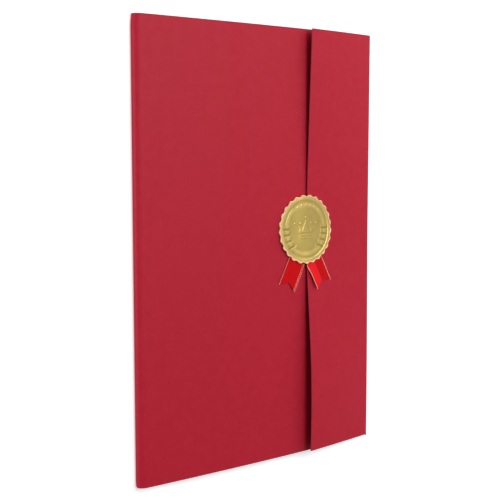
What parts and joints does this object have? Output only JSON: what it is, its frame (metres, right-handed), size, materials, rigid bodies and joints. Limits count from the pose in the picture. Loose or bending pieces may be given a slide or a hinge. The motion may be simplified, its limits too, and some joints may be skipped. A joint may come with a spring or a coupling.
{
  "type": "tri-fold certificate",
  "caption": "Closed tri-fold certificate cover of folded red card, its narrow flap held down by an embossed gold award seal with ribbon tails.",
  "frame": {"origin": "the middle of the closed certificate's outline, on the plane it lies on", "axes": "+X across the closed certificate towards the flap's fold, +Y up its height, +Z out of its front"},
  "size_m": [0.21, 0.31, 0.0126],
  "materials": {
    "card": "satin pearl card, deep red",
    "seal_foil": "embossed gold foil on card",
    "ribbon_satin": "red satin weave with pale gold edge stitches"
  },
  "bodies": {
    "root": {"folded_card": "card", "gold_seal": "seal_foil", "ribbon_tail_left": "ribbon_satin", "ribbon_tail_right": "ribbon_satin"}
  },
  "joints": []
}
